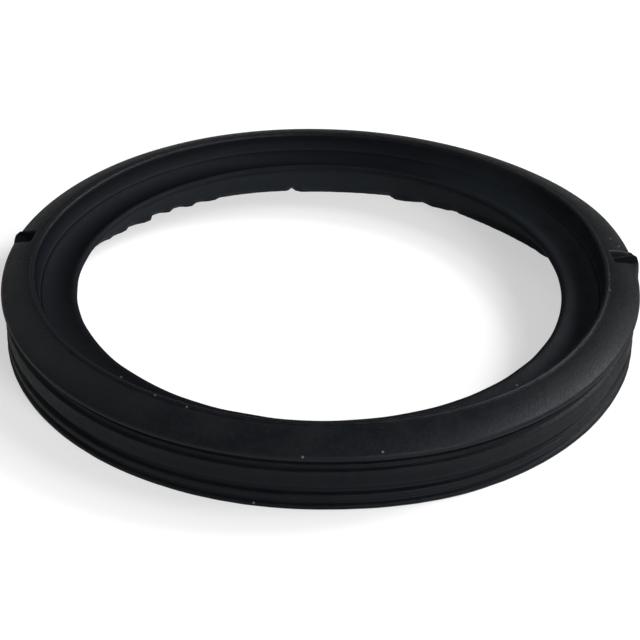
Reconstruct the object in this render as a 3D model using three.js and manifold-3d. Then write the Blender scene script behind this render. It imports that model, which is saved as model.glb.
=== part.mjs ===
// A moulded rubber sealing ring for a soil pipe joint, one piece, lying on its base with the crown up.
// The pipe passes up through the ring and spreads the thin lip; the outer ribs seat in the socket's groove.
// Millimetres, +Z up, the ring's axis on Z and its base on z = 0. Azimuths are counted from +X towards +Y.

import * as THREE from 'three';
import { mergeVertices } from 'three/addons/utils/BufferGeometryUtils.js';
import Module from 'manifold-3d';

const wasm = await Module();
wasm.setup();

// Driving dimensions of the section
const crownRadius = 67.5; // widest edge of the crown
const crownOverhang = 0.75; // the crown stands out past the ribs by this much
const baseWall = 7.85; // thickness of the wall that stands on the base
const lipReach = 7.45; // how far the sealing lip reaches inwards from the wall
const crownHeight = 3.9; // crown's widest edge up to the top of the rim bead

// The outer ribs and grooves, stacked from the base up
const footRib = 1.05;
const footGroove = 1.0;
const slimRib = 1.5;
const slimGroove = 1.6;
const broadRib = 4.0;
const neckGroove = 2.3;
const footGrooveDepth = 0.75;
const slimGrooveDepth = 1.0;
const neckGrooveDepth = 1.35;
const neckStepDepth = 0.7; // a small step in the neck groove's lower half
const neckStepHeight = 1.0;
const grooveSlope = 0.35; // height of a groove's sloping side
const ribRounding = 0.35;
const broadRibBead = 0.2; // the raised line along the broad rib's upper edge

// The crown
const crownEdgeRounding = 0.4;
const crownEdgeTurn = 60; // degrees above the horizontal at which the rounded edge meets the crown's top
const crownTopBulge = 0.3;
const beadRadius = 0.6; // the fine bead along the crown's inner rim
const beadStand = 0.55; // the bead stands up from the crown's top by this much
const beadInset = 6.95; // crown's widest edge in to the middle of the bead
const throatDepth = 5.05; // top of the bead down to the shelf where the lip begins
const throatTaper = 0.55; // the throat narrows by this much on the way down
const throatHollow = 0.3;

// The lip
const lipRootThickness = 2.9;
const lipTipThickness = 1.3;
const lipTipDrop = 0.1; // shelf down to the top of the lip's tip
const lipDish = 0.8; // hollow of the lip's upper face
const lipRootFillet = 0.9;
const wallDraft = 0.4; // the wall's inner face leans in by this much under the lip

// The two vent notches across the crown, each with a small tab of flash at its outer end
const notchWidth = 5.2;
const notchDepth = 1.25; // at its inner end
const notchLength = 4.3; // from the crown's widest edge inwards
const notchFall = 12; // degrees by which its floor falls outwards
const notchSteepSide = 0.85; // width taken by the steep side
const notchSoftSide = 1.8; // width taken by the soft side
const notchSkew = 20; // degrees off the radius, the inner end turned away from the steep side
const vents = [
  { azimuth: 6.4, steepSide: 1, tabReach: 1.75, tabRun: 8.5 },
  { azimuth: 168.9, steepSide: -1, tabReach: 0.8, tabRun: 5.5 },
];
const tabThickness = 1.2;
const tabRoot = 1.6; // how far the tab runs back into the crown
const tabLap = 0.4; // the tab begins this far past the notch's steep side

const turns = 72; // flats round the ring

// Heights and radii that follow from the dimensions
const slimRibBase = footRib + footGroove;
const slimGrooveBase = slimRibBase + slimRib;
const broadRibBase = slimGrooveBase + slimGroove;
const neckBase = broadRibBase + broadRib;
const crownBase = neckBase + neckGroove;
const crownEdgeHeight = crownBase + crownEdgeRounding;
const ribRadius = crownRadius - crownOverhang;
const wallRadius = ribRadius - baseWall;
const lipRadius = wallRadius - lipReach;
const ringHeight = crownEdgeHeight + crownHeight;
const beadMiddle = crownRadius - beadInset;
const beadHeight = ringHeight - beadRadius;
const throatRadius = beadMiddle - beadRadius;
const shelfRadius = throatRadius - throatTaper;
const shelfHeight = ringHeight - throatDepth;
const radians = THREE.MathUtils.degToRad;
const point = (radius, height) => new THREE.Vector2(radius, height);
const crownTopOuter = point(
  crownRadius - crownEdgeRounding * (1 - Math.cos(radians(crownEdgeTurn))),
  crownEdgeHeight + crownEdgeRounding * Math.sin(radians(crownEdgeTurn)),
);
const crownTopInner = point(beadMiddle + beadRadius, ringHeight - beadStand);

// Points along an arc of the section, angles in degrees from the outward direction
function arc(radius, height, bend, from, to, steps) {
  return Array.from({ length: steps + 1 }, (_, i) => {
    const angle = radians(from + ((to - from) * i) / steps);
    return point(radius + bend * Math.cos(angle), height + bend * Math.sin(angle));
  });
}

// Points along a shallow curve from one point to another, pulled aside by a bulge at its middle
function bow(start, end, bulge, steps) {
  const along = end.clone().sub(start);
  const aside = point(along.y, -along.x).normalize();
  return Array.from({ length: steps + 1 }, (_, i) => {
    const share = i / steps;
    const offset = 4 * bulge * share * (1 - share);
    return start.clone().addScaledVector(along, share).addScaledVector(aside, offset);
  });
}

// A rib of the outer wall: its lower and upper edges are rounded
function rib(base, height) {
  const round = Math.min(ribRounding, height / 2);
  return [
    ...arc(ribRadius - round, base + round, round, -90, 0, 2),
    ...arc(ribRadius - round, base + height - round, round, 0, 90, 2),
  ];
}

// A groove between two ribs: a flat floor between two sloping sides
function groove(base, height, depth) {
  const slope = Math.min(grooveSlope, height / 3);
  return [point(ribRadius - depth, base + slope), point(ribRadius - depth, base + height - slope)];
}

// The broad rib has a raised line along its upper edge
function broadRibFace() {
  return [
    ...arc(ribRadius - ribRounding, broadRibBase + ribRounding, ribRounding, -90, 0, 2),
    point(ribRadius, neckBase - 3 * broadRibBead),
    point(ribRadius + broadRibBead, neckBase - 2 * broadRibBead),
    point(ribRadius + broadRibBead, neckBase),
  ];
}

// The neck groove under the crown's overhang is stepped
function neckFace() {
  const slope = Math.min(grooveSlope, neckStepHeight / 3);
  return [
    point(ribRadius - neckStepDepth, neckBase + slope),
    point(ribRadius - neckStepDepth, neckBase + neckStepHeight),
    point(ribRadius - neckGrooveDepth, neckBase + neckStepHeight + slope),
    point(ribRadius - neckGrooveDepth, crownBase - slope),
  ];
}

// The outer face from the base up to the crown
function outerFace() {
  return [
    ...rib(0, footRib),
    ...groove(footRib, footGroove, footGrooveDepth),
    ...rib(slimRibBase, slimRib),
    ...groove(slimGrooveBase, slimGroove, slimGrooveDepth),
    ...broadRibFace(),
    ...neckFace(),
  ];
}

// The crown: rounded outer edge, gently domed top rising inwards, and the fine bead along its inner rim
function crownFace() {
  const edgeMiddle = crownRadius - crownEdgeRounding;
  return [
    ...arc(edgeMiddle, crownEdgeHeight, crownEdgeRounding, -90, crownEdgeTurn, 5),
    ...bow(crownTopOuter, crownTopInner, crownTopBulge, 5).slice(1),
    ...arc(beadMiddle, beadHeight, beadRadius, 0, 180, 5),
  ];
}

// The throat down to the shelf, the dished upper face of the lip, its round tip and its underside
function innerFace() {
  const tipRound = lipTipThickness / 2;
  const tipHeight = shelfHeight - lipTipDrop - tipRound;
  const rootUnder = shelfHeight - lipRootThickness;
  const rootRadius = wallRadius - wallDraft;
  const shelf = point(shelfRadius, shelfHeight);
  return [
    ...bow(point(throatRadius, beadHeight), shelf, -throatHollow, 3).slice(1),
    ...bow(shelf, point(lipRadius + tipRound, tipHeight + tipRound), -lipDish, 6).slice(1),
    ...arc(lipRadius + tipRound, tipHeight, tipRound, 90, 270, 6).slice(1),
    ...arc(rootRadius - lipRootFillet, rootUnder - lipRootFillet, lipRootFillet, 90, 0, 3),
    point(wallRadius, 0),
  ];
}

// One closed body of revolution
function ringBody() {
  const section = [...outerFace(), ...crownFace(), ...innerFace()];
  section.push(section[0].clone());
  const body = new THREE.LatheGeometry(section, turns);
  return body.rotateX(Math.PI / 2);
}

// The cutter for a vent notch: a flat floor between a steep side and a soft side, run outwards along the
// crown's top and turned a little off the radius about its outer end
function notchCutter(vent) {
  const half = notchWidth / 2;
  const side = vent.steepSide;
  const outline = new THREE.Shape();
  outline.moveTo(side * (-half - notchDepth), notchDepth);
  outline.lineTo(side * -half, 0);
  outline.quadraticCurveTo(side * (notchSoftSide / 2 - half), -notchDepth, side * (notchSoftSide - half), -notchDepth);
  outline.lineTo(side * (half - notchSteepSide), -notchDepth);
  outline.lineTo(side * half, 0);
  outline.lineTo(side * half, notchDepth);
  const run = notchLength + 3 * vent.tabReach;
  const cutter = new THREE.ExtrudeGeometry(outline, { depth: run, bevelEnabled: false, curveSegments: 5 });
  const lieRadially = new THREE.Matrix4().set(0, 0, 1, 0, 1, 0, 0, 0, 0, 1, 0, 0, 0, 0, 0, 1);
  cutter.applyMatrix4(lieRadially);
  cutter.rotateY(radians(notchFall));
  const start = crownRadius - notchLength;
  const share = (crownTopOuter.x - start) / (crownTopOuter.x - crownTopInner.x);
  cutter.translate(-notchLength, 0, 0);
  cutter.rotateZ(radians(side * notchSkew));
  cutter.translate(crownRadius, 0, THREE.MathUtils.lerp(crownTopOuter.y, crownTopInner.y, share));
  return cutter.rotateZ(radians(vent.azimuth));
}

// A thin tab of rubber squeezed out of the mould's vent, level with the crown's widest edge
// It begins at the notch's steep side, with a rounded corner, and dies away towards the soft side
function ventTab(vent) {
  const side = vent.steepSide;
  const tip = vent.tabReach;
  const start = notchWidth / 2 + tabLap;
  const fade = start - vent.tabRun;
  const outline = new THREE.Shape();
  outline.moveTo(-tabRoot, side * start);
  outline.lineTo(0, side * start);
  outline.quadraticCurveTo(tip, side * start, tip, side * (start - tip));
  outline.quadraticCurveTo(tip, side * (fade + tip), -tabRoot, side * fade);
  const tab = new THREE.ExtrudeGeometry(outline, { depth: tabThickness, bevelEnabled: false, curveSegments: 6 });
  tab.translate(crownRadius, 0, crownEdgeHeight - tabThickness / 2);
  return tab.rotateZ(radians(vent.azimuth));
}

// Closed meshes to solids for cutting and joining, and back again
function toSolid(geometry) {
  geometry.deleteAttribute('normal');
  geometry.deleteAttribute('uv');
  const merged = mergeVertices(geometry, 1e-4);
  return new wasm.Manifold(new wasm.Mesh({
    numProp: 3,
    vertProperties: merged.attributes.position.array,
    triVerts: new Uint32Array(merged.index.array),
  }));
}

function toGeometry(solid) {
  const mesh = solid.getMesh();
  const geometry = new THREE.BufferGeometry();
  geometry.setAttribute('position', new THREE.BufferAttribute(mesh.vertProperties, 3));
  geometry.setIndex(new THREE.BufferAttribute(mesh.triVerts, 1));
  geometry.computeVertexNormals();
  return geometry;
}

function sealingRing() {
  let solid = toSolid(ringBody());
  for (const vent of vents) {
    solid = solid.add(toSolid(ventTab(vent))).subtract(toSolid(notchCutter(vent)));
  }
  return toGeometry(solid);
}

const rubber = new THREE.MeshStandardMaterial({ color: 0x26272a, roughness: 0.55, metalness: 0 });

const model = new THREE.Group();
const ring = new THREE.Mesh(sealingRing(), rubber);
ring.name = 'sealing_ring';
model.add(ring);

export default model;
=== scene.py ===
# %% [markdown]
# # A moulded rubber sealing ring, from its section to its finish
# The real ring is one piece of black rubber that seals a soil pipe in its socket. It is moulded in a round
# two-part mould, so nearly all of its shape is one drawn section turned about an axis. What makes it look
# real is what the mould and the trimming knife leave behind: a rough bead, two vent notches and a ragged
# edge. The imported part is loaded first. It is the fixed frame that everything here is measured against.

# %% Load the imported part
import math

import bpy
import numpy as np
from mathutils import Matrix, Vector


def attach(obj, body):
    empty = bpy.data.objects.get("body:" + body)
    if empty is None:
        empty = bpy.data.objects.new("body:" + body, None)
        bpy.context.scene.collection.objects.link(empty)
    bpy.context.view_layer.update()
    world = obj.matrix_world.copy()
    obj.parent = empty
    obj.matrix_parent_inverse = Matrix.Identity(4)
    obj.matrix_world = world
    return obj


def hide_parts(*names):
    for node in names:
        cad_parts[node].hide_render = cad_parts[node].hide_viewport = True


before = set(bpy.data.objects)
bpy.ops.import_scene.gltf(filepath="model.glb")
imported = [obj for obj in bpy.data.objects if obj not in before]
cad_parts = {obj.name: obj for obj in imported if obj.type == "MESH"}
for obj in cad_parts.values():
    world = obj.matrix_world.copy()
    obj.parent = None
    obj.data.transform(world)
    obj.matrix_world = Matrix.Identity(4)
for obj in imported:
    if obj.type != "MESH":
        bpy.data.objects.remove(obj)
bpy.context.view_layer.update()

# %% [markdown]
# ## The ring's dimensions
# A turned part is drawn as half a section: radius outwards, height upwards. The dimensions are those of the
# part's own drawing, in millimetres, so the detailed ring lies exactly where the plain one does. Heights are
# stacked from the base up, the way the ribs are stacked in the mould.

# %% Dimensions of the section
MM = 0.001
CROWN_RADIUS = 67.5
RIB_INSET = 0.75
BODY_THICKNESS = 7.85
LIP_REACH = 7.45
RIB_RADIUS = CROWN_RADIUS - RIB_INSET
WALL_RADIUS = RIB_RADIUS - BODY_THICKNESS
LIP_RADIUS = WALL_RADIUS - LIP_REACH
FOOT_RIB = 1.05
FOOT_GROOVE = 1.0
SLIM_RIB = 1.5
SLIM_GROOVE = 1.6
BROAD_RIB = 4.0
NECK_GROOVE = 2.3
SLIM_RIB_BASE = FOOT_RIB + FOOT_GROOVE
SLIM_GROOVE_BASE = SLIM_RIB_BASE + SLIM_RIB
BROAD_RIB_BASE = SLIM_GROOVE_BASE + SLIM_GROOVE
NECK_BASE = BROAD_RIB_BASE + BROAD_RIB
CROWN_BASE = NECK_BASE + NECK_GROOVE
DRAWN_EDGE_ROUNDING = 0.4
CROWN_EDGE_HEIGHT = CROWN_BASE + DRAWN_EDGE_ROUNDING
CROWN_RISE = 3.9
RING_HEIGHT = CROWN_EDGE_HEIGHT + CROWN_RISE
BEAD_RADIUS = 0.6
BEAD_INSET = 6.95
BEAD_MIDDLE = CROWN_RADIUS - BEAD_INSET
THROAT_RADIUS = BEAD_MIDDLE - BEAD_RADIUS
THROAT_DEPTH = 5.05
SHELF_STEP = 0.55
SHELF_RADIUS = THROAT_RADIUS - SHELF_STEP
SHELF_HEIGHT = RING_HEIGHT - THROAT_DEPTH
print(f"ring {2 * CROWN_RADIUS} mm across, {RING_HEIGHT:.2f} mm high, bore {2 * LIP_RADIUS:.1f} mm")

# %% [markdown]
# ## Drawing helpers
# A section could be drawn with Bezier curves, but a moulded section is all straight runs, arcs and shallow
# bows, so two small functions say it more exactly. Each gives points of radius and height.


# %% Arc and bow
def arc(radius, height, bend, start, end, steps):
    """Points on an arc of the section; angles in degrees from the outward direction."""
    angles = np.radians(np.linspace(start, end, steps + 1))
    return np.stack([radius + bend * np.cos(angles), height + bend * np.sin(angles)], 1)


def bow(start, end, bulge, steps, crowd=0.0):
    """Points on a shallow curve between two points; crowd packs them towards both ends."""
    start, end = np.array(start), np.array(end)
    share = np.linspace(0, 1, steps + 1)
    share = share - crowd * np.sin(2 * math.pi * share) / (2 * math.pi)
    run = end - start
    aside = np.array([run[1], -run[0]]) / np.linalg.norm(run)
    offset = 4 * bulge * share * (1 - share)
    return start + share[:, None] * run + offset[:, None] * aside


print("a quarter arc of 1 mm in two steps:", arc(0, 0, 1, 0, 90, 2).round(2).tolist())

# %% [markdown]
# ## The outer wall
# Three ribs stand round the outside: a foot rib, a slim rib and a broad one with a raised line along its
# upper edge. Between them run grooves that let the rubber squeeze flat in the socket. A mould is cut with a
# rounded tool, so no rib has a sharp edge and no groove a sharp bottom.

# %% Ribs and grooves
RIB_ROUNDING = 0.32
GROOVE_ROUNDING = 0.22
GROOVE_SIDE = 0.2
FOOT_GROOVE_DEPTH = 0.75
SLIM_GROOVE_DEPTH = 1.0
NECK_DEPTH = 1.05
NECK_ROUNDING = 0.3
STEP_ROUNDING = 0.2
LINE_BELOW_NECK = 0.62
LINE_ROUNDING = 0.31
LINE_INSET = 0.11


def rib(base, height):
    """The outer face of a rib, both edges rounded."""
    return np.concatenate([
        arc(RIB_RADIUS - RIB_ROUNDING, base + RIB_ROUNDING, RIB_ROUNDING, -90, 0, 2),
        arc(RIB_RADIUS - RIB_ROUNDING, base + height - RIB_ROUNDING, RIB_ROUNDING, 0, 90, 3),
    ])


def groove(base, height, depth):
    """The floor of a groove between two sloping sides, its corners rounded."""
    floor = RIB_RADIUS - depth + GROOVE_ROUNDING
    return np.concatenate([
        arc(floor, base + GROOVE_SIDE + GROOVE_ROUNDING, GROOVE_ROUNDING, 250, 180, 2),
        arc(floor, base + height - GROOVE_SIDE - GROOVE_ROUNDING, GROOVE_ROUNDING, 180, 110, 2),
    ])


def broad_rib():
    """The broad rib: flat face, then the raised line along its upper edge."""
    line_base = NECK_BASE - LINE_BELOW_NECK
    return np.concatenate([
        arc(RIB_RADIUS - RIB_ROUNDING, BROAD_RIB_BASE + RIB_ROUNDING, RIB_ROUNDING, -90, 0, 3),
        bow((RIB_RADIUS, BROAD_RIB_BASE + 1.0), (RIB_RADIUS, line_base - 0.15), 0.0, 2),
        arc(RIB_RADIUS - LINE_INSET, line_base + LINE_ROUNDING, LINE_ROUNDING, -40, 80, 4),
    ])


def neck():
    """The neck groove under the crown, with a small step in its lower half."""
    floor = RIB_RADIUS - NECK_DEPTH
    return np.concatenate([
        arc(RIB_RADIUS - 0.5, NECK_BASE + 0.4, STEP_ROUNDING, 240, 180, 1),
        arc(RIB_RADIUS - 0.9, NECK_BASE + 0.85, STEP_ROUNDING, 0, 80, 2),
        arc(floor, NECK_BASE + 1.4, NECK_ROUNDING, 250, 180, 2),
        arc(floor, CROWN_BASE - 0.35, NECK_ROUNDING, 180, 100, 2),
    ])


outer_wall = np.concatenate([
    rib(0, FOOT_RIB),
    groove(FOOT_RIB, FOOT_GROOVE, FOOT_GROOVE_DEPTH),
    rib(SLIM_RIB_BASE, SLIM_RIB),
    groove(SLIM_GROOVE_BASE, SLIM_GROOVE, SLIM_GROOVE_DEPTH),
    broad_rib(),
    neck(),
])
print("outer wall:", len(outer_wall), "points")

# %% [markdown]
# ## The crown and its bead
# Above the ribs the crown stands out a little over the socket's mouth. Its domed top rises inwards to a fine
# bead. The part's drawing rounds the crown's edge by 0.4 mm, but real rubber looks softer there, so the edge
# rolls over by twice that.

# %% Crown edge, crown top and bead
EDGE_ROLL = 0.85
CROWN_DOME = 0.3
BEAD_DROP = 0.06
VALLEY_ROUNDING = 0.2
crown_edge = arc(CROWN_RADIUS - EDGE_ROLL, CROWN_BASE + EDGE_ROLL, EDGE_ROLL, -90, 50, 5)
crown_top = bow(crown_edge[-1], (BEAD_MIDDLE + 0.86, RING_HEIGHT - 0.62), CROWN_DOME, 15)[1:]
bead_valley = arc(BEAD_MIDDLE + 0.75, RING_HEIGHT - 0.42, VALLEY_ROUNDING, 280, 200, 2)
bead = arc(BEAD_MIDDLE, RING_HEIGHT - BEAD_DROP - BEAD_RADIUS, BEAD_RADIUS, 10, 180, 7)
print("crown:", len(crown_edge) + len(crown_top), "points, bead:", len(bead_valley) + len(bead))

# %% [markdown]
# ## The throat, the lip and the inner wall
# Behind the bead the throat drops to a shelf where the thin sealing lip begins. The lip is dished, so the
# pipe slides in easily and is then held. Its free edge is round. Under the lip the wall runs down to the
# base, and its last stretch has more points, because the knife cuts there.

# %% Throat, lip, wall and base
THROAT_HOLLOW = -0.28
SHELF_ROUNDING = 0.35
LIP_TIP_ROUND = 0.85
LIP_DISH = -0.95
LIP_ROOT_THICKNESS = 2.9
ROOT_ROUNDING = 0.9
WALL_DRAFT = 0.4
CUT_HEIGHT = 1.5
throat_top = (THROAT_RADIUS, RING_HEIGHT - 0.9)
throat_foot = (SHELF_RADIUS + 0.12, SHELF_HEIGHT + 0.35)
throat = bow(throat_top, throat_foot, THROAT_HOLLOW, 5)
shelf_edge = arc(SHELF_RADIUS - SHELF_ROUNDING, SHELF_HEIGHT - 0.25, SHELF_ROUNDING, 40, 100, 3)
LIP_TIP_HEIGHT = SHELF_HEIGHT - 0.1 - LIP_TIP_ROUND
lip_tip = arc(LIP_RADIUS + LIP_TIP_ROUND, LIP_TIP_HEIGHT, LIP_TIP_ROUND, 62, 270, 9)
lip_top = bow(shelf_edge[-1], lip_tip[0], LIP_DISH, 10, 0.3)[1:-1]
ROOT_HEIGHT = SHELF_HEIGHT - LIP_ROOT_THICKNESS
ROOT_RADIUS = WALL_RADIUS - WALL_DRAFT
lip_root = arc(ROOT_RADIUS - ROOT_ROUNDING, ROOT_HEIGHT - ROOT_ROUNDING, ROOT_ROUNDING, 90, 0, 4)
lip_underside = bow(lip_tip[-1], lip_root[0], 0.0, 4)[1:-1]
wall = bow(lip_root[-1], (WALL_RADIUS, CUT_HEIGHT + 0.3), 0.0, 4)[1:]
wall_foot = bow((WALL_RADIUS, CUT_HEIGHT), (WALL_RADIUS, 0.0), 0.0, 5)
base = bow((WALL_RADIUS + 0.6, 0.0), (RIB_RADIUS - 1.2, 0.0), 0.0, 3)

stretches = {
    "outer wall": outer_wall,
    "crown edge": crown_edge,
    "crown top": crown_top,
    "bead valley": bead_valley,
    "bead": bead,
    "throat": throat,
    "shelf edge": shelf_edge,
    "lip top": lip_top,
    "lip tip": lip_tip,
    "lip underside": lip_underside,
    "lip root": lip_root,
    "wall": wall,
    "wall foot": wall_foot,
    "base": base,
}
section = np.concatenate(list(stretches.values()))
stretch_of = np.concatenate([[name] * len(points) for name, points in stretches.items()])
print("section:", len(section), "points")

# %% [markdown]
# ## Where the section is repeated round the ring
# Turning the section with the Screw modifier would give a perfect ring. The real one has a knife-trimmed
# edge and two notches, so the section is repeated one by one at given azimuths, and each copy may be bent a
# little. Each row of the spacing says from which azimuth on the copies stand how many degrees apart. They
# stand closer together where there is more to see: at the notches and along the trimmed edge. Each vent
# says where it lies, which way its steep side faces, and how far its tab reaches out and runs on, in mm.

# %% Azimuths, in degrees from +X
VENTS = [
    {"azimuth": 6.4, "side": 1, "reach": 1.3, "run": 10.5},
    {"azimuth": 168.9, "side": -1, "reach": 0.8, "run": 5.5},
]
SPACING = [
    (-4.0, 0.4), (2.2, 0.18), (9.6, 0.7), (33.0, 0.4), (95.0, 0.16), (98.2, 0.36),
    (154.0, 0.7), (165.8, 0.18), (173.0, 0.77), (356.0, None),
]
azimuth = np.concatenate([
    np.linspace(start, end, round((end - start) / step), endpoint=False)
    for (start, step), (end, _) in zip(SPACING, SPACING[1:])
])
angle = np.radians(azimuth)
radius = np.repeat(section[None, :, 0], len(azimuth), 0)
height = np.repeat(section[None, :, 1], len(azimuth), 0)
print("copies of the section:", len(azimuth), "triangles:", 2 * radius.size)

# %% [markdown]
# ## Uneven lines and soft steps
# Nothing on a soft ring changes abruptly or stays perfectly even. An uneven line could be noise, but a sum
# of whole waves round the ring closes on itself without a seam. A soft step fades a change in and out.


# %% Wander and smooth
def wander(coarsest, finest, seed):
    """An uneven line round the ring, about -1 to 1, made of waves from coarsest to finest per turn."""
    chance = np.random.default_rng(seed)
    waves = np.arange(coarsest, finest + 1)
    phase = chance.uniform(0, 2 * math.pi, len(waves))
    strength = chance.uniform(0.3, 1.0, len(waves))
    line = (strength * np.sin(angle[:, None] * waves + phase)).sum(1)
    return line / (2.2 * line.std())


def smooth(low, high, value):
    """A soft step from 0 at low to 1 at high."""
    share = np.clip((value - low) / (high - low), 0, 1)
    return share * share * (3 - 2 * share)


print("a soft step at quarters:", smooth(0, 1, np.linspace(0, 1, 5)).round(2).tolist())

# %% [markdown]
# ## A soft ring is never quite round
# Laid on a table, a rubber ring takes a slightly uneven round. Here it bulges by up to a millimetre behind
# its right side and less at the front. The shift is given at a few azimuths and joined by a smooth closed
# curve. It acts on the stiff outer body and fades out across the thin lip, which keeps its own round.

# %% Out of round
BULGE = [
    (-176, -0.2), (-150, 0.1), (-128, 0.3), (-104, 0.15), (-86, -0.08), (-66, 0.6), (-48, 0.42),
    (-28, 0.15), (-8, 0.25), (10, 0.45), (24, 0.95), (36, 0.75), (54, 0.1), (68, -0.15), (90, -0.04),
    (116, 0.3), (130, 0.26), (150, -0.05), (168, -0.1),
]
CURVE_STEP = 0.5
CURVE_WINDOW = 25


def smooth_round(knots):
    """A smooth closed curve through values given at azimuths, at each copy of the section."""
    at, value = np.array(knots, float).T
    at = np.concatenate([at - 360, at, at + 360])
    value = np.tile(value, 3)
    fine = np.arange(-360, 540, CURVE_STEP)
    line = np.interp(fine, at, value)
    window = np.hanning(CURVE_WINDOW)
    line = np.convolve(line, window / window.sum(), "same")
    return np.interp(azimuth, fine, line)


bulge = smooth_round(BULGE)
radius += bulge[:, None] * smooth(LIP_RADIUS + 1.5, WALL_RADIUS, section[:, 0])
print(f"out of round from {bulge.min():.2f} to {bulge.max():.2f} mm")

# %% [markdown]
# ## The crown settles and its rim leans
# The crown's inner rim is its thinnest part, and it sags and leans by itself. It stands highest in front,
# and at the back it has settled by three quarters of a millimetre. The crown's outer edge follows it nearly
# all the way down. The rim leans inwards in front and outwards at the far left.

# %% The rim's own height and lean
RIM_SAG = [
    (-180, -0.45), (-150, -0.1), (-120, 0), (-30, 0), (15, -0.15), (45, -0.65), (90, -0.8), (140, -0.7),
]
RIM_LEAN = [
    (-180, 0.55), (-155, 0.1), (-125, -0.8), (-90, -0.9), (-68, -0.9), (-45, -0.1), (0, -0.1),
    (40, 0.1), (150, 0.1),
]
EDGE_SAG = 0.85
rim_sag = smooth_round(RIM_SAG)
rim_lean = smooth_round(RIM_LEAN)
above_shelf = section[:, 1] > SHELF_HEIGHT + 0.1
outside_bead = section[:, 0] > BEAD_MIDDLE
behind_bead = section[:, 0] < BEAD_MIDDLE
rim_share = np.where(above_shelf, smooth(CROWN_RADIUS - 0.3, BEAD_MIDDLE, section[:, 0]), 0)
throat_share = smooth(SHELF_HEIGHT, RING_HEIGHT - 1.0, section[:, 1])
rim_share = rim_share * np.where(behind_bead, throat_share, 1)
edge_share = EDGE_SAG * smooth(CROWN_BASE + 0.2, CROWN_BASE + 1.4, section[:, 1]) * outside_bead
height += rim_sag[:, None] * np.maximum(rim_share, edge_share)
radius += rim_lean[:, None] * rim_share
print(f"rim sags by up to {-rim_sag.min():.2f} mm")
print(f"rim leans by {rim_lean.min():.2f} to {rim_lean.max():.2f} mm")

# %% [markdown]
# ## The trimmed edge
# Rubber squeezes out where the mould halves meet, and a worker trims it with short strokes of a knife. On
# this ring the inner edge of the base shows each stroke, with a V-shaped nick at the back. The strokes are
# given as the places where the knife turned: azimuth in degrees and radius in millimetres. Where the edge
# is out of sight it just wanders a little.

# %% Knife strokes along the inner edge of the base
STROKES = [
    (30.0, 58.9), (33.5, 59.0), (40.0, 58.55), (46.5, 58.38), (52.0, 58.47), (56.5, 58.75),
    (57.4, 59.18), (58.6, 59.1), (59.5, 58.65), (63.5, 58.42), (66.2, 59.3), (68.0, 58.6),
    (70.0, 58.1), (72.4, 58.03), (74.2, 59.45), (79.0, 59.02), (86.0, 58.61), (94.6, 58.52),
    (95.9, 59.15), (96.7, 60.65), (97.5, 59.6), (98.2, 59.26), (104.0, 59.5), (113.6, 59.88),
    (114.9, 59.25), (116.6, 59.22), (118.4, 59.9), (119.4, 59.85), (120.9, 58.96), (122.0, 59.1),
    (123.4, 60.05), (125.0, 60.15), (126.6, 59.22), (127.5, 59.5), (128.7, 60.25), (130.7, 60.28),
    (132.1, 58.8), (133.9, 58.75), (136.2, 59.65), (137.8, 59.78), (139.2, 59.1), (140.8, 59.18),
    (142.6, 59.57), (144.2, 59.3), (146.4, 59.82), (148.4, 59.8), (151.0, 59.3), (154.0, 58.95),
]
EDGE_WANDER = 0.12
KNIFE_CHATTER = 0.04
BASE_MARGIN = 0.35
stroke_azimuths, stroke_radii = np.array(STROKES).T
untrimmed = WALL_RADIUS + bulge
plain_edge = untrimmed + EDGE_WANDER * wander(14, 70, 3)
in_sight = smooth(28, 32, azimuth) * (1 - smooth(153, 156, azimuth))
cut_edge = np.interp(azimuth, stroke_azimuths, stroke_radii)
trimmed = plain_edge * (1 - in_sight) + cut_edge * in_sight
trimmed += KNIFE_CHATTER * wander(60, 200, 4)
foot = stretch_of == "wall foot"
cut_reach = 1 - smooth(0.0, CUT_HEIGHT, section[foot, 1]) ** 0.7
radius[:, foot] += (trimmed - untrimmed)[:, None] * cut_reach
base_start = np.flatnonzero(stretch_of == "base")[0]
radius[:, base_start] = np.maximum(radius[:, base_start], trimmed + BASE_MARGIN)
print(f"trimmed edge from {trimmed.min():.2f} to {trimmed.max():.2f} mm")

# %% [markdown]
# ## The tabs at the vents
# Air leaves the mould through two vents across the crown. At the outer end of each, a little rubber ran
# into the vent and stayed as a thin tab. It starts at the vent's steep side and dies away along the edge.
# It could be a piece of its own, but pulling the crown's edge outwards keeps the ring one closed surface.

# %% Draw out the tabs
NOTCH_WIDTH = 5.2
TAB_START = 0.35
TAB_SHOULDER = 0.9
TAB_SPREAD = 0.35
TAB_TOP_REACH = 0.75
TAB_TOP_LIFT = 0.12
TAB_TOP_INNER = 65.2
TAB_TOP_OUTER = 67.3
edge_points = stretch_of == "crown edge"
top_points = stretch_of == "crown top"


def across(vent, at_radius):
    """Distance in mm from a vent's middle, positive towards its steep side."""
    turn = (azimuth - vent["azimuth"] + 180) % 360 - 180
    return vent["side"] * np.radians(turn)[:, None] * at_radius


def draw_out_tab(vent):
    """Pulls the crown's edge outwards into a thin tab that starts at the steep side and dies away."""
    along = NOTCH_WIDTH / 2 + TAB_START - across(vent, CROWN_RADIUS)
    shoulder = smooth(0, TAB_SHOULDER, along) ** 0.6
    reach = vent["reach"] * shoulder * (1 - smooth(0.1, 1.0, along / vent["run"])) ** 0.8
    share = reach / vent["reach"]
    middle = CROWN_EDGE_HEIGHT + 0.05
    radius[:, edge_points] += reach
    height[:, edge_points] += (height[:, edge_points] - middle) * TAB_SPREAD * share
    near_edge = smooth(TAB_TOP_INNER, TAB_TOP_OUTER, section[top_points, 0]) ** 2
    radius[:, top_points] += reach * near_edge * TAB_TOP_REACH
    height[:, top_points] += TAB_TOP_LIFT * share * near_edge


for vent in VENTS:
    draw_out_tab(vent)
print(f"widest radius with the tabs: {radius.max():.2f} mm")

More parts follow.
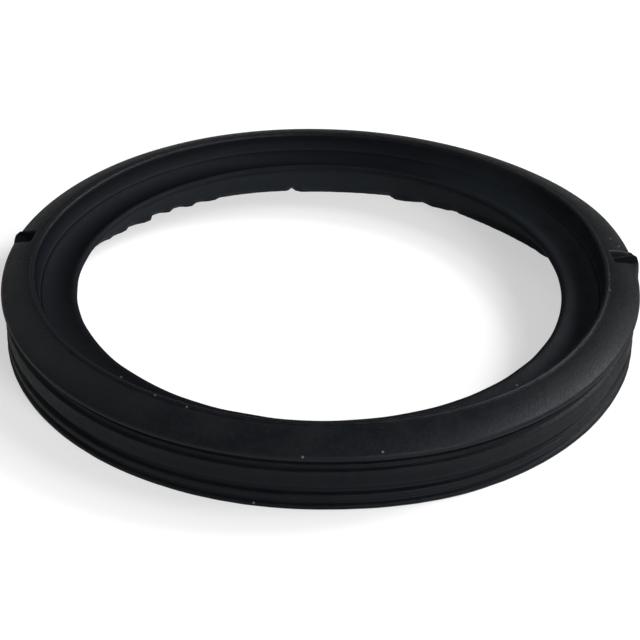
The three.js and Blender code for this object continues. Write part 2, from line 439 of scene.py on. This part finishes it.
# %% [markdown]
# ## The vent notches
# Inwards of each tab the vent leaves a shallow notch with a flat floor that falls outwards, one steep side
# and one soft side, turned a little off the radius. The Boolean modifier could cut it, but lowering the
# crown's own points keeps the mesh even and the edges soft like rubber.

# %% Lower the crown's points into the notches
NOTCH_LENGTH = 4.35
NOTCH_STEEP = 0.6
NOTCH_SOFT = 1.9
NOTCH_SKEW = math.tan(math.radians(20))
NOTCH_DEPTH = 1.6
NOTCH_FALL = math.tan(math.radians(7))
NOTCH_START = CROWN_RADIUS - NOTCH_LENGTH
crown_points = edge_points | top_points
crown_line = section[crown_points][::-1]
start_height = np.interp(NOTCH_START, crown_line[:, 0], crown_line[:, 1])


def cut_notch(vent):
    """Lowers the crown's points to the notch's floor, steep on one side and soft on the other."""
    at_radius = radius[:, crown_points]
    offset = across(vent, at_radius) + NOTCH_SKEW * (CROWN_RADIUS - at_radius)
    half = NOTCH_WIDTH / 2
    soft_side = smooth(-half, NOTCH_SOFT - half, offset)
    steep_side = 1 - smooth(half - NOTCH_STEEP, half, offset)
    inner_end = smooth(NOTCH_START - 0.3, NOTCH_START + 0.15, at_radius)
    depth_share = soft_side * steep_side * inner_end
    settled = EDGE_SAG * rim_sag[:, None]
    floor = start_height + settled - NOTCH_DEPTH - NOTCH_FALL * (at_radius - NOTCH_START)
    drop = np.maximum(height[:, crown_points] - floor, 0)
    height[:, crown_points] -= drop * depth_share
    return depth_share


notch_depth = sum(cut_notch(vent) for vent in VENTS)
print("notches at", [vent["azimuth"] for vent in VENTS], "degrees")

# %% [markdown]
# ## Small unevenness of moulded rubber
# The bead is where the mould's core met its lid, so it carries a rough line of flash. The lip's edge and
# the ribs are smoother, yet a flexible ring is never quite true. A few hundredths of a millimetre are
# enough to break a reflection the way real rubber does.

# %% Roughen the bead and relax the rest
BEAD_RISE = 0.055
BEAD_WEAR = 0.05
BEAD_SWAY = 0.05
LIP_SWAY = 0.07
LIP_WAVE = 0.06
RIB_SWAY = 0.03
is_bead = stretch_of == "bead"
bead_bump = BEAD_RISE * wander(24, 210, 11) - BEAD_WEAR
bead_shift = BEAD_SWAY * wander(18, 160, 12)
height[:, is_bead] += bead_bump[:, None]
radius[:, is_bead] += bead_shift[:, None]
is_tip = np.isin(stretch_of, ["lip tip", "lip top"])
tip_share = smooth(LIP_RADIUS + 3.5, LIP_RADIUS, section[is_tip, 0])
radius[:, is_tip] += (LIP_SWAY * wander(3, 40, 13))[:, None] * tip_share
height[:, is_tip] += (LIP_WAVE * wander(2, 24, 14))[:, None] * tip_share
is_outer = stretch_of == "outer wall"
radius[:, is_outer] += (RIB_SWAY * wander(6, 90, 15))[:, None]
print("bead uneven by", round(float(np.ptp(bead_bump)), 3), "mm")

# %% [markdown]
# ## Marks for the finish
# The finish differs from place to place, so a few numbers are stored at each point of the mesh: how much the
# section bulges there, how much it is hollowed, and whether it lies on the ribs, on the lip and throat, on
# the inner wall or in a notch. They could be painted by hand, but here they follow from the section itself.
# The wall's mark says where light is painted: on the inner wall, and on the right part of the lip and throat.


# %% Crest, hollow and where each point lies
def turning(points, reach):
    """How far the closed section turns at each point, in radians, seen over a reach in mm."""
    loop = np.concatenate([points, points, points])
    along = np.concatenate([[0], np.cumsum(np.linalg.norm(np.diff(loop, axis=0), axis=1))])
    here = along[len(points):2 * len(points)]
    sample = []
    for shift in (-reach, 0, reach):
        sample.append(np.stack([np.interp(here + shift, along, loop[:, k]) for k in (0, 1)], 1))
    before, after = sample[1] - sample[0], sample[2] - sample[1]
    cross = before[:, 0] * after[:, 1] - before[:, 1] * after[:, 0]
    return np.arctan2(cross, (before * after).sum(1))


FULL_TURN = 1.2
# Painted light: how much lighter the inner wall and the lip and throat on the right are painted.
WALL_PAINTED_LIGHT = 0.6
LIP_PAINTED_LIGHT = 1.1
crest_line = np.clip(turning(section, 0.45) / FULL_TURN, 0, 1)
hollow_line = np.clip(-turning(section, 0.9) / FULL_TURN, 0, 1)
inside = np.isin(stretch_of, ["throat", "shelf edge", "lip top", "lip tip"])
crest_line[inside] = 0
section_marks = {
    "crest": crest_line,
    "hollow": hollow_line,
    "wall": np.isin(stretch_of, ["wall", "wall foot"]) * WALL_PAINTED_LIGHT,
    "inside": inside * 1.0,
    "ribbed": is_outer * 1.0,
}
marks = {label: np.tile(line, (len(azimuth), 1)) for label, line in section_marks.items()}
# Painted light on the lip and throat, on the right side only, where the light from the right falls.
turn_from_right = (azimuth + 180) % 360 - 180
right_part = smooth(-75, -15, turn_from_right) * (1 - smooth(35, 80, turn_from_right))
lip_painted_light_share = inside * smooth(LIP_RADIUS + 0.5, LIP_RADIUS + 3, section[:, 0])
marks["wall"] += LIP_PAINTED_LIGHT * lip_painted_light_share * right_part[:, None]
marks["notch"] = np.zeros(radius.shape)
marks["notch"][:, crown_points] = smooth(0.0, 0.25, notch_depth)
print("share of points:", {label: round(float((line > 0.5).mean()), 3) for label, line in marks.items()})

# %% [markdown]
# ## The mesh
# The points become one closed mesh: a grid that joins up with itself both round the ring and round the
# section. A modifier could turn or weld it, but a grid of numbers needs no welding and can't leave a seam.
# The marks go along as attributes of the points.


# %% Build the ring
def ring_mesh(name):
    """A closed mesh from the radius and height grids."""
    across_ring = radius * np.cos(angle)[:, None]
    along_ring = radius * np.sin(angle)[:, None]
    points = np.stack([across_ring, along_ring, height], 2).reshape(-1, 3) * MM
    rows, columns = radius.shape
    row, column = np.meshgrid(np.arange(rows), np.arange(columns), indexing="ij")
    next_row, next_column = (row + 1) % rows, (column + 1) % columns
    quads = np.stack([
        row * columns + column,
        next_row * columns + column,
        next_row * columns + next_column,
        row * columns + next_column,
    ], 2).reshape(-1, 4)
    mesh = bpy.data.meshes.new(name)
    mesh.from_pydata(points.tolist(), [], quads.tolist())
    mesh.shade_smooth()
    for label, values in marks.items():
        values = values.ravel().astype(np.float32)
        mesh.attributes.new(label, "FLOAT", "POINT").data.foreach_set("value", values)
    mesh.validate()
    return mesh


ring = bpy.data.objects.new("moulded_ring", ring_mesh("moulded_ring"))
bpy.context.scene.collection.objects.link(ring)
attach(ring, "root")
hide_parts("sealing_ring")
print("ring mesh:", len(ring.data.vertices), "points,", len(ring.data.polygons), "faces")

# %% [markdown]
# ## Flecks of dust
# Ten pale flecks of dust stick to the ring. A noise could scatter them, but they lie at places of their own,
# so each is one use of a small node group that marks a soft spot round a given place.


# %% Node helper and the fleck group
def node(tree, kind, **settings):
    """A new node with its sockets and settings given by name."""
    made = tree.nodes.new(kind)
    for key, value in settings.items():
        if key in made.inputs:
            made.inputs[key].default_value = value
        else:
            setattr(made, key.lower().replace(" ", "_"), value)
    return made


def fleck_group():
    """A node group that marks one fleck of dust round a given place."""
    group = bpy.data.node_groups.new("fleck of dust", "ShaderNodeTree")
    sockets = group.interface
    sockets.new_socket("Position", in_out="INPUT", socket_type="NodeSocketVector")
    sockets.new_socket("Place", in_out="INPUT", socket_type="NodeSocketVector")
    sockets.new_socket("Size", in_out="INPUT", socket_type="NodeSocketFloat")
    sockets.new_socket("Fleck", in_out="OUTPUT", socket_type="NodeSocketFloat")
    enter = group.nodes.new("NodeGroupInput")
    leave = group.nodes.new("NodeGroupOutput")
    distance = node(group, "ShaderNodeVectorMath", operation="DISTANCE")
    share = node(group, "ShaderNodeMath", operation="DIVIDE")
    fade = node(group, "ShaderNodeMapRange", **{
        "From Min": 1.0, "From Max": 0.6, "To Min": 0.0, "To Max": 1.0,
    })
    group.links.new(enter.outputs["Position"], distance.inputs[0])
    group.links.new(enter.outputs["Place"], distance.inputs[1])
    group.links.new(distance.outputs["Value"], share.inputs[0])
    group.links.new(enter.outputs["Size"], share.inputs[1])
    group.links.new(share.outputs[0], fade.inputs["Value"])
    group.links.new(fade.outputs["Result"], leave.inputs["Fleck"])
    return group


flecks = fleck_group()
print("node group:", flecks.name)

# %% [markdown]
# Each fleck is given by its azimuth in degrees, and by its radius and height in millimetres.

# %% Where the flecks lie
FLECKS = [
    (-136.6, 54.0, 10.0), (-121.3, 60.3, 15.6), (-114.4, 60.5, 15.4), (-92.2, 67.3, 12.8),
    (-100.2, 66.8, 0.8), (-79.3, 66.9, 13.2), (-43.3, 54.5, 9.8), (-8.5, 61.3, 15.2),
    (12.3, 64.6, 14.3), (9.8, 65.6, 13.9),
]
FLECK_SIZE = 0.3 * MM
FLECK_STRENGTH = 0.8
print("flecks:", len(FLECKS))

# %% [markdown]
# ## The rubber's finish
# Black rubber is not flat black. It leaves the mould satin and finely grained, and faintly mottled where the
# release agent dried. An image could carry all this, but noise in object coordinates keeps its true scale in
# millimetres on every side. First come the shader and the helpers that the finish is put together with.

# %% Rubber material and its helpers
rubber = bpy.data.materials.new("moulded rubber")
rubber.use_nodes = True
rubber_tree = rubber.node_tree
shader = rubber_tree.nodes["Principled BSDF"]
shader.inputs["IOR"].default_value = 1.22
shader.inputs["Specular Tint"].default_value = (0.86, 0.93, 1.0, 1)
place = rubber_tree.nodes.new("ShaderNodeTexCoord")


def noise(scale, detail, roughness=0.5):
    """Noise in object coordinates; scale is in features per metre."""
    made = node(rubber_tree, "ShaderNodeTexNoise", Scale=scale, Detail=detail, Roughness=roughness)
    rubber_tree.links.new(place.outputs["Object"], made.inputs["Vector"])
    return made.outputs["Fac"]


def ramp(value, low, high, from_low=0.0, from_high=1.0):
    """Turns a value between two others into a range of its own."""
    made = node(rubber_tree, "ShaderNodeMapRange", **{
        "From Min": from_low, "From Max": from_high, "To Min": low, "To Max": high,
    })
    rubber_tree.links.new(value, made.inputs["Value"])
    return made.outputs["Result"]


def combine(operation, first, second):
    """First and second, each a socket or a number, put together by a Math node."""
    made = node(rubber_tree, "ShaderNodeMath", operation=operation)
    for socket, value in zip(made.inputs, (first, second)):
        if isinstance(value, (int, float)):
            socket.default_value = value
        else:
            rubber_tree.links.new(value, socket)
    return made.outputs[0]


def mix_colour(share, first, second):
    """A colour between first and second by a share that changes over the surface."""
    made = node(rubber_tree, "ShaderNodeMix", data_type="RGBA")
    rubber_tree.links.new(share, made.inputs["Factor"])
    for socket, value in ((made.inputs[6], first), (made.inputs[7], second)):
        if isinstance(value, tuple):
            socket.default_value = (*value, 1)
        else:
            rubber_tree.links.new(value, socket)
    return made.outputs[2]


def mark(label):
    """The value stored at the mesh's points under this label."""
    return node(rubber_tree, "ShaderNodeAttribute", attribute_name=label).outputs["Fac"]


print("material:", rubber.name)

# %% [markdown]
# ### Colour
# The rubber is mottled between two near-blacks and finely speckled. The lip and throat are painted
# a little darker and more even, which is painted shade in the recess under the crown. Crests are painted
# lighter in patches, partly a painted highlight and partly rubbed wear. Hollows are painted lighter, a
# painted light that lifts their shade. The inner wall is painted lighter all round, and the lip and throat
# on the right side too, which is painted light. The notches are painted dark, which is painted shade. The
# flecks of dust lie on top of it all, so they are mixed in last.

# %% Colour of the rubber
DARK_RUBBER = (0.0030, 0.0040, 0.0052)
LIGHT_RUBBER = (0.0056, 0.0064, 0.0076)
SPECKLED = (0.010, 0.012, 0.014)
INSIDE_PAINTED_SHADE = (0.0034, 0.0043, 0.0058)
CREST_HIGHLIGHT_AND_WEAR = (0.010, 0.011, 0.013)
HOLLOW_PAINTED_LIGHT = (0.0075, 0.0090, 0.0110)
PAINTED_LIGHT_GREY = (0.013, 0.016, 0.019)
NOTCH_PAINTED_SHADE = (0.0035, 0.0041, 0.0052)
PALE_DUST = (0.11, 0.12, 0.13)
mottle = ramp(noise(110, 4, 0.6), 0, 1, 0.32, 0.68)
specks = noise(900, 5, 0.75)
colour = mix_colour(mottle, DARK_RUBBER, LIGHT_RUBBER)
colour = mix_colour(ramp(specks, 0, 0.5, 0.5, 0.75), colour, SPECKLED)
# Painted shade: the lip and throat, in the recess under the crown, are painted darker and more even.
colour = mix_colour(mark("inside"), colour, INSIDE_PAINTED_SHADE)
# Partly a painted highlight and partly rubbed wear: the crests are painted lighter in patches.
crest_highlight_and_wear = combine("MULTIPLY", mark("crest"), ramp(noise(420, 4, 0.7), 0.0, 0.45, 0.4, 0.65))
colour = mix_colour(crest_highlight_and_wear, colour, CREST_HIGHLIGHT_AND_WEAR)
# Painted light: the hollows are painted lighter, which lifts the shade in the grooves.
colour = mix_colour(ramp(mark("hollow"), 0, 0.8), colour, HOLLOW_PAINTED_LIGHT)
# Painted light: the inner wall and the right part of the lip and throat are painted lighter.
painted_light = combine("MULTIPLY", mark("wall"), ramp(noise(160, 3, 0.6), 0.6, 1.0, 0.35, 0.65))
colour = mix_colour(painted_light, colour, PAINTED_LIGHT_GREY)
# Painted shade: the notches are painted dark.
colour = mix_colour(mark("notch"), colour, NOTCH_PAINTED_SHADE)
dust = 0.0
for turned, out, up in FLECKS:
    fleck = rubber_tree.nodes.new("ShaderNodeGroup")
    fleck.node_tree = flecks
    rubber_tree.links.new(place.outputs["Object"], fleck.inputs["Position"])
    turned = math.radians(turned)
    middle = (out * math.cos(turned) * MM, out * math.sin(turned) * MM, up * MM)
    fleck.inputs["Place"].default_value = middle
    fleck.inputs["Size"].default_value = FLECK_SIZE
    dust = combine("MAXIMUM", fleck.outputs["Fleck"], dust)
colour = mix_colour(combine("MULTIPLY", dust, FLECK_STRENGTH), colour, PALE_DUST)
rubber_tree.links.new(colour, shader.inputs["Base Color"])
print("nodes after the colour:", len(rubber_tree.nodes))

# %% [markdown]
# ### Satin and gloss
# The mottling that changes the colour also changes the roughness, because both come from the same dried
# film. The lip and throat are duller. At a slant real rubber gleams less than a smooth plastic, so the gloss
# falls off there, and it is weaker on the ribs, inside, and most of all in the notches.

# %% Roughness and gloss
satin = combine("ADD", ramp(mottle, 0.42, 0.52), ramp(specks, -0.08, 0.08, 0.3, 0.7))
satin = combine("ADD", satin, combine("MULTIPLY", mark("inside"), 0.2))
rubber_tree.links.new(satin, shader.inputs["Roughness"])
slant = node(rubber_tree, "ShaderNodeLayerWeight", Blend=0.5).outputs["Facing"]
gloss = combine("MULTIPLY", ramp(slant, 0.5, 0.06, 0.35, 0.84), ramp(mark("notch"), 1.0, 0.2))
gloss = combine("MULTIPLY", gloss, ramp(mark("ribbed"), 1.0, 0.62))
gloss = combine("MULTIPLY", gloss, ramp(mark("inside"), 1.0, 0.8))
rubber_tree.links.new(gloss, shader.inputs["Specular IOR Level"])
print("roughness and gloss vary over", len(rubber_tree.nodes), "nodes so far")

# %% [markdown]
# ### Grain
# The mould's surface leaves a grain that is too fine to model as points, so it is a bump, with a height
# scale of 0.08 mm.

# %% Fine relief
GRAIN_DEPTH = 0.00008
bump = node(rubber_tree, "ShaderNodeBump", Strength=0.6, Distance=GRAIN_DEPTH)
relief = combine("ADD", noise(2600, 3, 0.6), combine("MULTIPLY", specks, 1.5))
rubber_tree.links.new(relief, bump.inputs["Height"])
rubber_tree.links.new(bump.outputs["Normal"], shader.inputs["Normal"])
ring.data.materials.append(rubber)
print("rubber nodes:", len(rubber_tree.nodes))

# %% [markdown]
# ## The light
# The light is soft and plain: two wide sources from the right, a low one from the right front that draws the
# bright lines along the ribs, and weak ones from behind and from the left. Area lamps would do, but sun lamps
# with a wide angle light the floor evenly everywhere. A level white sheet renders at about 1.2, and the mean
# over all directions that face up is a little under one, so colours render about as they are written.


# %% Lights
def soft_light(name, turned, raised, spread, strength):
    """A wide sun lamp; turned and raised say where it stands, in degrees."""
    light = bpy.data.lights.new(name, "SUN")
    light.angle = math.radians(spread)
    light.energy = strength
    lamp = bpy.data.objects.new(name, light)
    turn, rise = math.radians(turned), math.radians(raised)
    toward = Vector((math.cos(turn) * math.cos(rise), math.sin(turn) * math.cos(rise), math.sin(rise)))
    lamp.location = toward
    lamp.rotation_euler = toward.to_track_quat("Z", "Y").to_euler()
    bpy.context.scene.collection.objects.link(lamp)


LAMPS = [
    ("right", 3, 46, 26, 1.25),
    ("right back", 28, 34, 18, 2.4),
    ("right front", 304, 20, 24, 2.4),
    ("back left", 130, 30, 30, 0.22),
    ("left", 212, 30, 40, 0.3),
]
WORLD_STRENGTH = 0.15
for lamp_values in LAMPS:
    soft_light(*lamp_values)
from_lamps = sum(lamp[4] * math.sin(math.radians(lamp[2])) for lamp in LAMPS) / math.pi
print(f"a level white sheet renders at {from_lamps + WORLD_STRENGTH:.2f}")

# %% [markdown]
# ## Floor and world
# The floor is pale grey paper that keeps the ring's soft shadow, and it stretches far back, so it fills the
# picture from any side. To the camera and to reflections it also glows by half, which lifts it to the white
# of the photo. The floor could be whitened with more light, but then the rubber would be overlit.

# %% Floor and world
FLOOR_REACH = 30
FLOOR_GAP = 0.05 * MM
FLOOR_GREY = 0.55
FLOOR_GLOW = 0.5
corners = [(-1, -1), (1, -1), (1, 1), (-1, 1)]
floor_points = [(x * FLOOR_REACH, y * FLOOR_REACH, -FLOOR_GAP) for x, y in corners]
floor_mesh = bpy.data.meshes.new("floor")
floor_mesh.from_pydata(floor_points, [], [(0, 1, 2, 3)])
floor = bpy.data.objects.new("floor", floor_mesh)
bpy.context.scene.collection.objects.link(floor)
paper = bpy.data.materials.new("white floor")
paper.use_nodes = True
floor_tree = paper.node_tree
paint = floor_tree.nodes["Principled BSDF"]
paint.inputs["Base Color"].default_value = (FLOOR_GREY, FLOOR_GREY, FLOOR_GREY, 1)
paint.inputs["Roughness"].default_value = 1.0
paint.inputs["Specular IOR Level"].default_value = 0.0
paint.inputs["Emission Color"].default_value = (1, 1, 1, 1)
light_path = floor_tree.nodes.new("ShaderNodeLightPath")
seen = light_path.outputs["Is Camera Ray"]
for kind in ("Is Glossy Ray", "Is Transmission Ray"):
    either = node(floor_tree, "ShaderNodeMath", operation="MAXIMUM")
    floor_tree.links.new(seen, either.inputs[0])
    floor_tree.links.new(light_path.outputs[kind], either.inputs[1])
    seen = either.outputs[0]
lift = node(floor_tree, "ShaderNodeMath", operation="MULTIPLY")
lift.inputs[1].default_value = FLOOR_GLOW
floor_tree.links.new(seen, lift.inputs[0])
floor_tree.links.new(lift.outputs[0], paint.inputs["Emission Strength"])
floor_mesh.materials.append(paper)

world = bpy.data.worlds.new("studio")
world.use_nodes = True
background = world.node_tree.nodes["Background"]
background.inputs["Color"].default_value = (1, 1, 1, 1)
background.inputs["Strength"].default_value = WORLD_STRENGTH
bpy.context.scene.world = world
bpy.context.scene.view_settings.view_transform = "Standard"
print("floor", 2 * FLOOR_REACH, "m square")

# %% [markdown]
# ## The camera
# The camera looks down on the ring from the front, at about thirty-two degrees, from half a metre away. Its
# place, tilt and lens were worked out from the ring's outlines in the photograph.

# %% Camera
ELEVATION = math.radians(32.203)
ROLL = math.radians(-0.960)
DISTANCE = 7.1738 * CROWN_RADIUS * MM
AIM = Vector((0.0032, 0.0198, 0)) * CROWN_RADIUS * MM
SENSOR_WIDTH = 36
LENS = 125.96
back = Vector((0, -math.cos(ELEVATION), math.sin(ELEVATION)))
right = Vector((1, 0, 0))
up = back.cross(right)
camera = bpy.data.objects.new("camera", bpy.data.cameras.new("camera"))
camera.data.sensor_width = SENSOR_WIDTH
camera.data.lens = LENS
camera.data.clip_start = 0.01
turned_right = right * math.cos(ROLL) - up * math.sin(ROLL)
turned_up = right * math.sin(ROLL) + up * math.cos(ROLL)
camera.matrix_world = Matrix.LocRotScale(
    AIM + back * DISTANCE,
    Matrix((turned_right, turned_up, back)).transposed(),
    None,
)
bpy.context.scene.collection.objects.link(camera)
bpy.context.scene.camera = camera
print("camera at", [round(value, 4) for value in camera.location])
